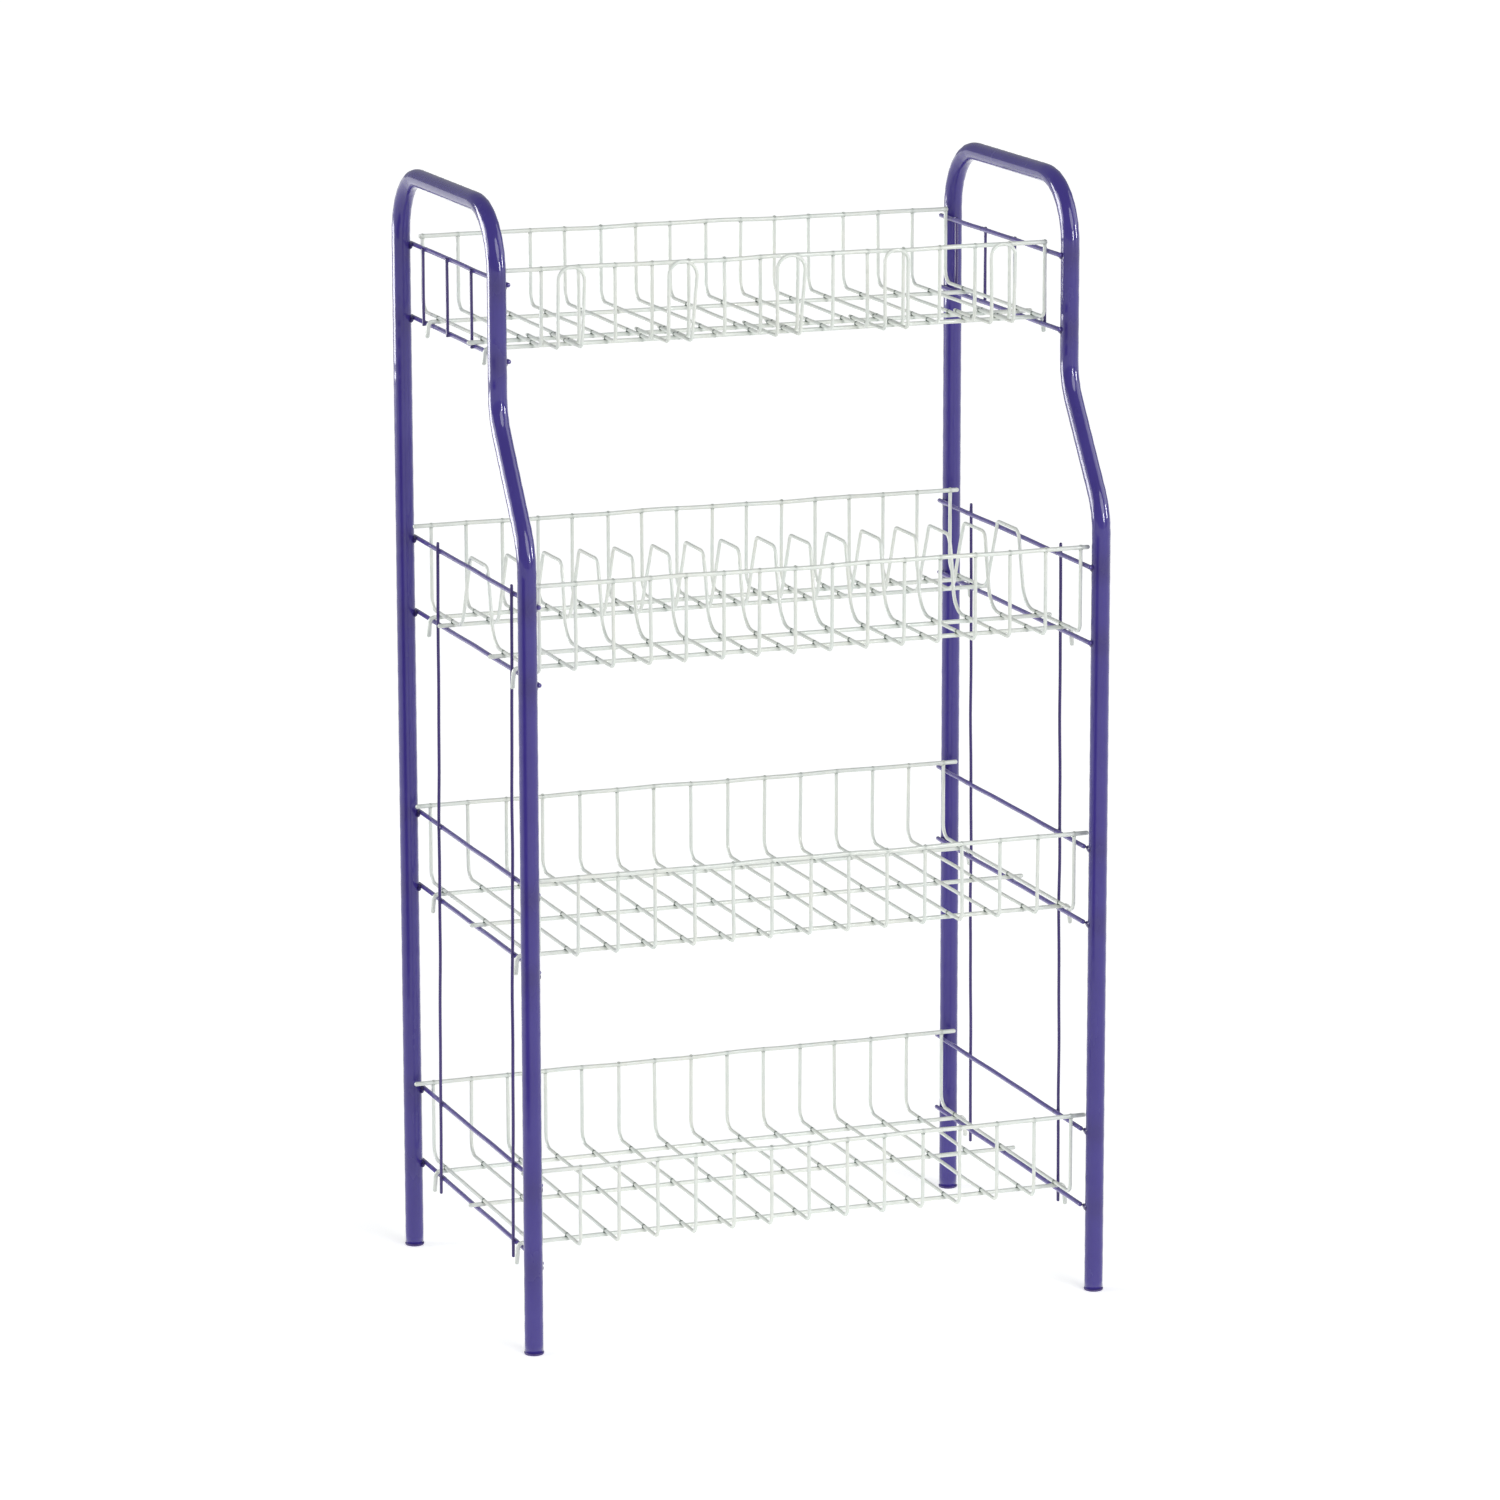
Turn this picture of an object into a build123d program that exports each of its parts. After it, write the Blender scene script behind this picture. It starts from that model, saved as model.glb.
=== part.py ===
from build123d import *
import os

# Free-standing four-tier wire rack: two bent tube side frames joined by four lift-off wire baskets.
# +X runs to the right, +Y to the back and +Z up. The origin is on the floor, midway between the legs.

# --- frame sizes ---
frame_width = 400.0          # left leg centre to right leg centre
frame_depth = 262.7          # back leg centre to lower front leg centre
handle_height = 749.5        # centre of the tube's level top run
upper_depth = 206.35         # back leg centre to upper front leg centre
kink_drop = 134.5            # top run down to where the upper front leg starts to slant forward
slant_height = 78.5          # from there down to where the slant meets the lower front leg
handle_bend = 43.0           # bend radius at both ends of the top run
kink_bend = 45.0             # bend radius at both kinks of the front leg
tube_diameter = 12.7
tube_wall = 1.0

# --- foot plugs ---
plug_lip = 0.3               # how far the plug's flange stands out of the tube
plug_flange = 1.6
plug_stem = 14.0
plug_rounding = 0.8

# --- frame wires and welds ---
cross_wire_diameter = 3.2
cross_wire_overhang = 4.4    # past the centre of the back leg it is welded to
tie_wire_diameter = 2.2
tie_wire_top = 6.8           # above the highest cross wire it is welded to
tie_wire_foot = 10.5         # below the lowest cross wire it is welded to
tie_wire_insets = (53.1, 51.6)   # back leg to back tie and front leg to front tie, at their tops
tie_wire_skew = 4.0          # the right ties' tops sit this much further back, the left ones' further forward
tie_wire_lean = {"left": 10.5, "right": -5.6}   # foot behind the top
panel_bar_diameter = 2.2
panel_bar_count = 4
panel_bar_insets = (25.9, 23.55)   # back leg to first bar, upper front leg to last bar, before the skew
panel_bar_skew = 6.5
panel_bar_overhang = 1.5
weld_sink = 0.25             # how far welded wires run into each other
bead_half_length = 7.5       # middle to pointed end
bead_core_half_length = 2.5  # middle to where the bead starts to taper
bead_radius = 2.6
bead_drop = 0.9              # the bead hangs this much below its wire

# --- basket sizes shared by the four tiers ---
rim_diameter = 3.0
rib_diameter = 2.5
floor_wire_diameter = 3.0
rib_back_bend = 9.0
rib_front_bend = 5.5
hook_bend = 3.0
hook_gap = 0.6               # between the hook's leg and the cross wire that carries it
stub_reach = 7.7             # straight wire end outside the centre of the cross wire
rest_gap = 0.3               # coating clearance between a basket and the wires that carry it
side_gap = 0.4               # clearance between the end ribs and the cross wires

# --- cup loops on the top tier ---
loop_wire_diameter = 2.4
loop_rib_step = 3            # one loop for every third rib
loop_first_rib = 2
loop_stand_off = 13.5        # in front of the front rim
loop_rise = 2.2              # above the front rim
loop_side_gap = 6.75         # left foot's centre to the centre of the next rib on its left
loop_lean = (3.0, 6.0, 4.5, 0.3, 1.5)   # how far each hand-bent right leg splays out at the top
loop_corner = 0.47           # arch corner radius as a share of the loop's width at the top
loop_foot_bend = 4.0
loop_foot_overlap = 5.0      # foot's end behind the floor wire it is welded to

# --- humps bent into the plate rack's ribs, which keep the plates apart ---
hump_height = 50.9           # top above the rib's floor run
hump_top_y = (20.4, -16.1)            # back and front ends of the flat top
hump_leg_y = (40.0, -27.6)            # where the legs would meet the floor run
hump_bends = (13.0, 4.0, 7.0, 18.0)   # back foot, back top, front top, front foot

# --- worked out from the frame sizes ---
leg_x = frame_width / 2
leg_y = frame_depth / 2
upper_leg_y = leg_y - upper_depth
tube_radius = tube_diameter / 2
upper_kink_height = handle_height - kink_drop
lower_kink_height = upper_kink_height - slant_height

# --- tiers, from the top down ---
cup_rack_drop = 99.1         # top run down to the cup rack's lower cross wires
plate_rack_drop = 88.0       # lower kink down to the plate rack's lower cross wires
bottom_height = 59.3         # floor up to the bottom basket's lower cross wires
middle_lift = 2.6            # middle basket above the halfway height between its neighbours
plate_rack_height = lower_kink_height - plate_rack_drop
middle_height = (plate_rack_height + bottom_height) / 2 + middle_lift
front_clearance = 0.7        # between the second tier's front rim and the front legs
# lower: height of the lower cross wires; spacing: up to the upper ones; front_overhang: cross wires
# past the centre of the front leg; rim_lift: rim above the upper cross wire; rim_overhangs: left and
# right rim ends past the end ribs; back_gap, front_gap: leg centre to rim centre; hook_insets: back rim
# to back hook wire and front rim to front hook wire; mid_wires: Y of the floor wires between the hook
# wires; hook_drop: hook tips below the centre of the cross wires that carry them.
tiers = {
    "cup_rack": {
        "lower": handle_height - cup_rack_drop, "spacing": 49.8, "front_overhang": 4.4,
        "ribs": 16, "rim_lift": 6.5, "rim_overhangs": (2.9, 1.8), "back_gap": 13.3, "front_gap": 17.5,
        "hook_insets": (34.05, 19.5), "mid_wires": (upper_leg_y + 64.0,), "hook_drop": 7.5,
    },
    "plate_rack": {
        "lower": plate_rack_height, "spacing": 51.0, "front_overhang": 4.4,
        "ribs": 16, "rim_lift": 12.1, "rim_overhangs": (12.7, 6.4), "back_gap": 24.4,
        "front_gap": (tube_diameter + rim_diameter) / 2 + front_clearance,
        "hook_insets": (17.95, 31.8), "mid_wires": (60.0, -49.0), "hook_drop": 10.0,
    },
    "middle_basket": {
        "lower": middle_height, "spacing": 52.0, "front_overhang": 2.0,
        "ribs": 15, "rim_lift": 6.8, "rim_overhangs": (10.5, 10.5), "back_gap": 14.5, "front_gap": 15.0,
        "hook_insets": (28.85, 24.35), "mid_wires": (-3.0,), "hook_drop": 9.5,
    },
    "bottom_basket": {
        "lower": bottom_height, "spacing": 53.2, "front_overhang": 1.0,
        "ribs": 15, "rim_lift": 6.4, "rim_overhangs": (13.6, 10.8), "back_gap": 13.2, "front_gap": 16.0,
        "hook_insets": (26.15, 27.35), "mid_wires": (7.0,), "hook_drop": 11.0,
    },
}

# --- worked out from the wire sizes ---
cross_wire_x = leg_x - tube_radius - cross_wire_diameter / 2 + weld_sink
tie_wire_x = cross_wire_x + (cross_wire_diameter + tie_wire_diameter) / 2 - weld_sink
panel_bar_x = cross_wire_x + (cross_wire_diameter + panel_bar_diameter) / 2 - weld_sink
end_rib_x = cross_wire_x - cross_wire_diameter / 2 - side_gap - rib_diameter / 2
hook_x = cross_wire_x + (cross_wire_diameter + floor_wire_diameter) / 2 + hook_gap
stub_x = cross_wire_x + stub_reach


def front_leg_y(height):
    """Centre of the front leg at a height clear of its bends."""
    return upper_leg_y if height > upper_kink_height else -leg_y


def upper_wire_height(tier):
    return tier["lower"] + tier["spacing"]


def rim_height(tier):
    return upper_wire_height(tier) + tier["rim_lift"]


def floor_wire_height(tier):
    return tier["lower"] + (cross_wire_diameter + floor_wire_diameter) / 2 + rest_gap


def on_floor_wires(tier, wire_diameter):
    """Centre height of a wire welded across the top of the floor wires."""
    return floor_wire_height(tier) + (floor_wire_diameter + wire_diameter) / 2 - weld_sink


def rim_places(tier):
    """Y of the back rim and of the front rim."""
    return leg_y - tier["back_gap"], front_leg_y(upper_wire_height(tier)) + tier["front_gap"]


def hook_places(tier):
    """Y of the back hook wire and of the front hook wire."""
    back_rim, front_rim = rim_places(tier)
    back_inset, front_inset = tier["hook_insets"]
    return back_rim - back_inset, front_rim + front_inset


def rib_places(tier_name):
    """X of each rib, evenly spaced from one end rib to the other."""
    count = tiers[tier_name]["ribs"]
    pitch = 2 * end_rib_x / (count - 1)
    return [pitch * index - end_rib_x for index in range(count)]


def bend_wire(points, radii, diameter):
    """Sweep a round wire along a bent centre line, into the sub-part being built."""
    with BuildLine() as centre_line:
        FilletPolyline(*points, radius=radii)
    start = Plane(origin=centre_line.line @ 0, z_dir=centre_line.line % 0)
    with BuildSketch(start) as section:
        Circle(diameter / 2)
    sweep(section.sketch, path=centre_line.line)


def lay_bar(start, end, diameter):
    """Extrude a straight round wire between two points, into the sub-part being built."""
    run = Vector(*end) - Vector(*start)
    with BuildSketch(Plane(origin=start, z_dir=run)) as section:
        Circle(diameter / 2)
    extrude(section.sketch, amount=run.length)


os.makedirs("parts", exist_ok=True)
sides = {"left": -1, "right": 1}

# --- side tubes: back leg, top run, upper front leg, slant and lower front leg in one bent tube ---
for side, sign in sides.items():
    tube_corners = [
        (sign * leg_x, leg_y, plug_flange),
        (sign * leg_x, leg_y, handle_height),
        (sign * leg_x, upper_leg_y, handle_height),
        (sign * leg_x, upper_leg_y, upper_kink_height),
        (sign * leg_x, -leg_y, lower_kink_height),
        (sign * leg_x, -leg_y, plug_flange),
    ]
    with BuildPart() as side_tube:
        with BuildLine() as tube_line:
            FilletPolyline(*tube_corners, radius=[handle_bend, handle_bend, kink_bend, kink_bend])
        with BuildSketch(Plane(origin=tube_line.line @ 0, z_dir=tube_line.line % 0)):
            Circle(tube_radius)
            Circle(tube_radius - tube_wall, mode=Mode.SUBTRACT)
        sweep(path=tube_line.line)
    side_tube.part.label = f"{side}_side_tube"
    export_step(side_tube.part, f"parts/{side}_side_tube.step")

# --- foot plugs: a rounded flange under the tube's end and a stem inside it ---
for side, sign in sides.items():
    for end, plug_y in {"back": leg_y, "front": -leg_y}.items():
        with BuildPart() as foot_plug:
            with BuildSketch(Plane.XY.move(Location((sign * leg_x, plug_y, 0)))):
                Circle(tube_radius + plug_lip)
            extrude(amount=plug_flange)
            fillet(foot_plug.edges().group_by(Axis.Z)[0], plug_rounding)
            with BuildSketch(Plane.XY.offset(plug_flange).move(Location((sign * leg_x, plug_y, 0)))):
                Circle(tube_radius - tube_wall)
            extrude(amount=plug_stem)
        foot_plug.part.label = f"{side}_{end}_foot_plug"
        export_step(foot_plug.part, f"parts/{side}_{end}_foot_plug.step")

# --- cross wires: two on the inner face of each side frame for every tier ---
for side, sign in sides.items():
    for tier_name, tier in tiers.items():
        for level, height in {"lower": tier["lower"], "upper": upper_wire_height(tier)}.items():
            back_end = (sign * cross_wire_x, leg_y + cross_wire_overhang, height)
            front_end = (sign * cross_wire_x, front_leg_y(height) - tier["front_overhang"], height)
            with BuildPart() as cross_wire:
                lay_bar(back_end, front_end, cross_wire_diameter)
            cross_wire.part.label = f"{side}_{tier_name}_{level}_wire"
            export_step(cross_wire.part, f"parts/{side}_{tier_name}_{level}_wire.step")

# --- end panel bars: short uprights outside the top tier's cross wires ---
cup_rack = tiers["cup_rack"]
bar_foot = cup_rack["lower"] - panel_bar_overhang
bar_top = upper_wire_height(cup_rack) + panel_bar_overhang
first_bar_y = leg_y - panel_bar_insets[0]
panel_bar_pitch = (first_bar_y - upper_leg_y - panel_bar_insets[1]) / (panel_bar_count - 1)
for side, sign in sides.items():
    with BuildPart() as panel_bars:
        for index in range(panel_bar_count):
            bar_y = first_bar_y + sign * panel_bar_skew - index * panel_bar_pitch
            lay_bar(
                (sign * panel_bar_x, bar_y, bar_foot),
                (sign * panel_bar_x, bar_y, bar_top),
                panel_bar_diameter,
            )
    panel_bars.part.label = f"{side}_end_panel_bars"
    export_step(panel_bars.part, f"parts/{side}_end_panel_bars.step")

# --- tie wires: long uprights that join the lower three tiers' cross wires ---
plate_rack = tiers["plate_rack"]
tie_foot = bottom_height - tie_wire_foot
tie_top = upper_wire_height(plate_rack) + tie_wire_top
tie_tops_y = {"back": leg_y - tie_wire_insets[0], "front": tie_wire_insets[1] - leg_y}
for side, sign in sides.items():
    for end, tie_y in tie_tops_y.items():
        top_y = tie_y + sign * tie_wire_skew
        with BuildPart() as tie_wire:
            lay_bar(
                (sign * tie_wire_x, top_y + tie_wire_lean[side], tie_foot),
                (sign * tie_wire_x, top_y, tie_top),
                tie_wire_diameter,
            )
        tie_wire.part.label = f"{side}_{end}_tie_wire"
        export_step(tie_wire.part, f"parts/{side}_{end}_tie_wire.step")

# --- weld beads: a spindle of weld metal where each cross wire end meets its leg ---
bead_profile = [
    (-bead_half_length, 0),
    (-bead_core_half_length, bead_radius),
    (bead_core_half_length, bead_radius),
    (bead_half_length, 0),
]
for side, sign in sides.items():
    bead_x = sign * (cross_wire_x + cross_wire_diameter / 2)
    with BuildPart() as weld_beads:
        for tier in tiers.values():
            for height in (tier["lower"], upper_wire_height(tier)):
                for bead_y in (leg_y, front_leg_y(height)):
                    bead_centre = (bead_x, bead_y, height - bead_drop)
                    bead_plane = Plane(origin=bead_centre, x_dir=(0, 1, 0), z_dir=(1, 0, 0))
                    with BuildSketch(bead_plane) as bead_half:
                        Polygon(*bead_profile, align=None)
                    revolve(bead_half.sketch, axis=Axis(bead_centre, (0, 1, 0)))
    weld_beads.part.label = f"{side}_weld_beads"
    export_step(weld_beads.part, f"parts/{side}_weld_beads.step")

# --- baskets ---
for tier_name, tier in tiers.items():
    rib_height = on_floor_wires(tier, rib_diameter)
    rim_z = rim_height(tier)
    rib_top = rim_z - rim_diameter / 2 + weld_sink
    rim_left = -end_rib_x - tier["rim_overhangs"][0]
    rim_right = end_rib_x + tier["rim_overhangs"][1]
    back_y, front_y = rim_places(tier)

    for end, rim_y in {"back": back_y, "front": front_y}.items():
        with BuildPart() as rim:
            lay_bar((rim_left, rim_y, rim_z), (rim_right, rim_y, rim_z), rim_diameter)
        rim.part.label = f"{tier_name}_{end}_rim"
        export_step(rim.part, f"parts/{tier_name}_{end}_rim.step")

    # the plate rack's ribs rise into a hump between its middle floor wires
    rib_outline = [(back_y, rib_top), (back_y, rib_height), (front_y, rib_height), (front_y, rib_top)]
    rib_bends = [rib_back_bend, rib_front_bend]
    if tier_name == "plate_rack":
        hump_top = rib_height + hump_height
        rib_outline[2:2] = [
            (hump_leg_y[0], rib_height),
            (hump_top_y[0], hump_top),
            (hump_top_y[1], hump_top),
            (hump_leg_y[1], rib_height),
        ]
        rib_bends[1:1] = hump_bends
    with BuildPart() as ribs:
        for rib_x in rib_places(tier_name):
            rib_corners = [(rib_x, corner_y, corner_z) for corner_y, corner_z in rib_outline]
            bend_wire(rib_corners, rib_bends, rib_diameter)
    ribs.part.label = f"{tier_name}_ribs"
    export_step(ribs.part, f"parts/{tier_name}_ribs.step")

    wire_height = floor_wire_height(tier)
    hook_tip = tier["lower"] - tier["hook_drop"]
    for end, wire_y in zip(("back", "front"), hook_places(tier)):
        hook_corners = [
            (-hook_x, wire_y, hook_tip),
            (-hook_x, wire_y, wire_height),
            (hook_x, wire_y, wire_height),
            (hook_x, wire_y, hook_tip),
        ]
        with BuildPart() as hook_wire:
            bend_wire(hook_corners, [hook_bend, hook_bend], floor_wire_diameter)
        hook_wire.part.label = f"{tier_name}_{end}_hook_wire"
        export_step(hook_wire.part, f"parts/{tier_name}_{end}_hook_wire.step")

    for number, wire_y in enumerate(tier["mid_wires"], start=1):
        with BuildPart() as floor_wire:
            lay_bar((-stub_x, wire_y, wire_height), (stub_x, wire_y, wire_height), floor_wire_diameter)
        floor_wire.part.label = f"{tier_name}_floor_wire_{number}"
        export_step(floor_wire.part, f"parts/{tier_name}_floor_wire_{number}.step")

# --- cup loops: arches in front of the cup rack, their feet welded beside every third rib ---
loop_y = rim_places(cup_rack)[1] - loop_stand_off
loop_foot_height = on_floor_wires(cup_rack, loop_wire_diameter)
loop_top = rim_height(cup_rack) + loop_rise
loop_foot_y = cup_rack["mid_wires"][0] + loop_foot_overlap
cup_ribs = rib_places("cup_rack")
loop_width = cup_ribs[1] - cup_ribs[0] - (rib_diameter + loop_wire_diameter) / 2 - loop_side_gap
with BuildPart() as cup_loops:
    for rib_x, lean in zip(cup_ribs[loop_first_rib::loop_rib_step], loop_lean):
        right_foot = rib_x - (rib_diameter + loop_wire_diameter) / 2
        left_foot = right_foot - loop_width
        arch_corner = loop_corner * (loop_width + lean)
        loop_corners = [
            (left_foot, loop_foot_y, loop_foot_height),
            (left_foot, loop_y, loop_foot_height),
            (left_foot, loop_y, loop_top),
            (right_foot + lean, loop_y, loop_top),
            (right_foot, loop_y, loop_foot_height),
            (right_foot, loop_foot_y, loop_foot_height),
        ]
        loop_bends = [loop_foot_bend, arch_corner, arch_corner, loop_foot_bend]
        bend_wire(loop_corners, loop_bends, loop_wire_diameter)
cup_loops.part.label = "cup_loops"
export_step(cup_loops.part, "parts/cup_loops.step")
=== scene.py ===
import bisect
import math
import random
import bpy
import bmesh
from mathutils import Matrix, Vector


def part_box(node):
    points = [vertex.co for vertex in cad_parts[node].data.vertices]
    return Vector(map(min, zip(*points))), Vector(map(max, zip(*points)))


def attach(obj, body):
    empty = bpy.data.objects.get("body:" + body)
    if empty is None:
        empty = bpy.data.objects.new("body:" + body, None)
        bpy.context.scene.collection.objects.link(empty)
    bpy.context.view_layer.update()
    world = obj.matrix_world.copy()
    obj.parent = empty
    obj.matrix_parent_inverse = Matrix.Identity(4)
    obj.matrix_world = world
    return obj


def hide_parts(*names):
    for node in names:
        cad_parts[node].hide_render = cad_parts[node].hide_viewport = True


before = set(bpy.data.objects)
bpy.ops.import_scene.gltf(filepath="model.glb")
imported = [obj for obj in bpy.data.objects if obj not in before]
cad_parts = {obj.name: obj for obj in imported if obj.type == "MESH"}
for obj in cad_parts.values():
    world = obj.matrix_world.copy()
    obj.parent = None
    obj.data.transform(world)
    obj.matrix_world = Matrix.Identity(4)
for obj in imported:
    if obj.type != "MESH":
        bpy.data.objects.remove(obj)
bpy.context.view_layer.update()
tierNames = ("cup_rack", "plate_rack", "middle_basket", "bottom_basket")
sides = {"left": -1, "right": 1}
mm = 0.001
wireGap = 4 * mm      # wires that share a node stand further apart than this
print("frame loaded:", len(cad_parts), "nodes")


# shader helpers
class Value:
    # a node's output; sums and products on it add Math nodes
    def __init__(self, finish, socket):
        self.finish = finish
        self.socket = socket

    def maths(self, operation, first, second):
        return self.finish.node("ShaderNodeMath", {"operation": operation}, {0: first, 1: second})

    def __add__(self, other):
        return self.maths("ADD", self, other)

    def __mul__(self, other):
        return self.maths("MULTIPLY", self, other)

    __radd__ = __add__
    __rmul__ = __mul__


class Finish:
    # one material and its node tree
    def __init__(self, name):
        self.material = bpy.data.materials.new(name)
        self.material.use_nodes = True
        self.tree = self.material.node_tree
        self.tree.nodes.clear()

    def node(self, kind, settings=None, inputs=None, output=0):
        made = self.tree.nodes.new(kind)
        for name, setting in (settings or {}).items():
            if name == "stops":
                for stop, (position, shade) in zip(made.color_ramp.elements, setting):
                    stop.position = position
                    stop.color = (shade, shade, shade, 1)
            else:
                setattr(made, name, setting)
        for name, value in (inputs or {}).items():
            if isinstance(value, Value):
                self.tree.links.new(value.socket, made.inputs[name])
            else:
                made.inputs[name].default_value = value
        return Value(self, made.outputs[output]) if made.outputs else made

    def place(self):
        return self.node("ShaderNodeTexCoord", output=3)

    def noise(self, size, detail, stretch=(1, 1, 1)):
        # size is the width of a blotch in millimetres
        spot = self.node("ShaderNodeVectorMath", {"operation": "MULTIPLY"}, {0: self.place(), 1: stretch})
        inputs = {"Vector": spot, "Scale": 1 / (size * mm), "Detail": detail}
        return self.node("ShaderNodeTexNoise", None, inputs)

    def ramp(self, value, start, end):
        return self.node("ShaderNodeValToRGB", {"stops": ((start, 0), (end, 1))}, {0: value})

    def mix(self, factor, first, second):
        colours = [c if isinstance(c, Value) else (*c, 1) for c in (first, second)]
        return self.node("ShaderNodeMix", {"data_type": "RGBA"}, {0: factor, 6: colours[0], 7: colours[1]}, 2)

    def painted(self, name):
        return self.node("ShaderNodeAttribute", {"attribute_name": name}, output=2)

    def bump(self, height, distance, strength):
        # distance is how high the bumps stand, in millimetres
        inputs = {"Height": height, "Distance": distance * mm, "Strength": strength}
        return self.node("ShaderNodeBump", None, inputs)

    def surface(self, **sockets):
        # sockets are named as the shader's own, with _ for each space
        inputs = {name.replace("_", " "): value for name, value in sockets.items()}
        shader = self.node("ShaderNodeBsdfPrincipled", None, inputs)
        self.node("ShaderNodeOutputMaterial", None, {"Surface": shader})
        return self.material


# in each look the sizes are widths of blotches in millimetres
enamelLook = {
    "body": (0.045, 0.029, 0.232),
    "thin": (0.064, 0.047, 0.285),      # where the powder lies thinner
    "thinShare": 0.5,
    "cloudSize": 34,
    "weldShadeColour": (0.034, 0.022, 0.135),      # painted shade where a wire meets another at a weld
    "weldShadeShare": 0.85,
    "gloss": 0.20,
    "haze": 0.34,                       # roughness where hands have rubbed it
    "handledSize": 11,
    "weldHaze": 0.12,
    "peelSizes": (2.6, 9),              # the fine and the broad orange peel
    "peelHeight": 0.006,
    "coat": 0.8,
    "coatRoughness": 0.035,
    "specular": 0.15,
}


def purpleEnamel(name, look):
    finish = Finish(name)
    cloud = finish.ramp(finish.noise(look["cloudSize"], 3.0), 0.35, 0.75)
    # the weld mask is painted shade in the corners where wires meet
    weld = finish.painted("paintedWeldShade")
    colour = finish.mix(cloud * look["thinShare"], look["body"], look["thin"])
    colour = finish.mix(weld * look["weldShadeShare"], colour, look["weldShadeColour"])
    handled = finish.ramp(finish.noise(look["handledSize"], 4.0, (1, 1, 0.35)), 0.45, 0.8)
    roughness = handled * (look["haze"] - look["gloss"]) + look["gloss"] + weld * look["weldHaze"]
    fine, broad = look["peelSizes"]
    peel = finish.noise(fine, 0.0) + finish.noise(broad, 0.0) * 2
    return finish.surface(
        Base_Color=colour, Roughness=roughness, Normal=finish.bump(peel, look["peelHeight"], 0.4),
        Coat_Weight=look["coat"], Coat_Roughness=look["coatRoughness"], Specular_IOR_Level=look["specular"],
    )


# the cross wires' copy of the tube enamel is lighter: painted light, as on their lit tops
litCrossEnamelLook = {**enamelLook, "body": (0.105, 0.075, 0.33), "thin": (0.14, 0.11, 0.38), "gloss": 0.25}
# the tie wires' copy of the tube enamel, also on the end panel bars and weld fillets, is darker: painted shade
shadedTieEnamelLook = {**enamelLook, "body": (0.042, 0.022, 0.155), "thin": (0.062, 0.036, 0.20), "gloss": 0.25}
coatingLook = {
    "body": (0.78, 0.825, 0.775),
    "creamy": (0.83, 0.84, 0.765),
    "thin": (0.63, 0.70, 0.635),        # the steel shows through as a greenish grey
    # painted shade for the corners where wires meet at a weld
    "weld": (0.07, 0.115, 0.085),
    "creamyShare": 0.7,
    "thinShare": 0.45,
    "cloudSize": 26,
    "drawnSize": 7,                     # patches where the dip is drawn thin
    "roughness": 0.3,
    "cloudHaze": 0.12,
    "weldHaze": 0.2,
    "skinSizes": (2.2, 9),
    "skinHeight": 0.02,
    "coat": 0.25,
    "coatRoughness": 0.12,
}


def whiteCoating(look):
    finish = Finish("whiteDipCoating")
    cloud = finish.ramp(finish.noise(look["cloudSize"], 2.0), 0.35, 0.7)
    drawn = finish.ramp(finish.noise(look["drawnSize"], 3.0), 0.5, 0.85)
    # the weld mask is painted shade in the corners where wires meet
    weld = finish.painted("paintedWeldShade")
    colour = finish.mix(cloud * look["creamyShare"], look["body"], look["creamy"])
    colour = finish.mix(drawn * look["thinShare"], colour, look["thin"])
    colour = finish.mix(weld, colour, look["weld"])
    roughness = cloud * look["cloudHaze"] + look["roughness"] + weld * look["weldHaze"]
    fine, broad = look["skinSizes"]
    skin = finish.noise(fine, 2.0) + finish.noise(broad, 1.0) * 2
    return finish.surface(
        Base_Color=colour, Roughness=roughness, Normal=finish.bump(skin, look["skinHeight"], 0.6),
        Coat_Weight=look["coat"], Coat_Roughness=look["coatRoughness"],
    )


plasticLook = {
    "body": (0.060, 0.038, 0.185),
    "scuffed": (0.12, 0.09, 0.25),
    "scuffShare": 0.6,
    "scuffSize": 3.5,
    "scuffHaze": 0.25,
    "roughness": 0.45,
    "grainSize": 0.35,
    "grainHeight": 0.02,
}


def mouldedPlastic(look):
    finish = Finish("mouldedFootPlastic")
    scuff = finish.ramp(finish.noise(look["scuffSize"], 5.0), 0.55, 0.75)
    colour = finish.mix(scuff * look["scuffShare"], look["body"], look["scuffed"])
    grain = finish.noise(look["grainSize"], 2.0)
    return finish.surface(
        Base_Color=colour, Roughness=scuff * look["scuffHaze"] + look["roughness"],
        Normal=finish.bump(grain, look["grainHeight"], 0.7),
    )


finishes = {
    "tube": purpleEnamel("purpleTubeEnamel", enamelLook),
    "cross": purpleEnamel("purpleCrossWireEnamelLit", litCrossEnamelLook),
    "tie": purpleEnamel("purpleTieWireEnamelShaded", shadedTieEnamelLook),
    "coating": whiteCoating(coatingLook),
    "plastic": mouldedPlastic(plasticLook),
}
print("finishes made:", len(finishes))


# reading the frame
def strands(node, axis, gap=wireGap):
    # boxes of the separate wires in one node, in order along an axis
    corners = sorted((v.co.copy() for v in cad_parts[node].data.vertices), key=lambda p: p[axis])
    groups = [[corners[0]]]
    for corner in corners[1:]:
        if corner[axis] - groups[-1][-1][axis] > gap:
            groups.append([])
        groups[-1].append(corner)
    return [
        (Vector(map(min, zip(*group))), Vector(map(max, zip(*group))))
        for group in groups
    ]


def middle(low, high):
    return (low + high) / 2


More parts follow.
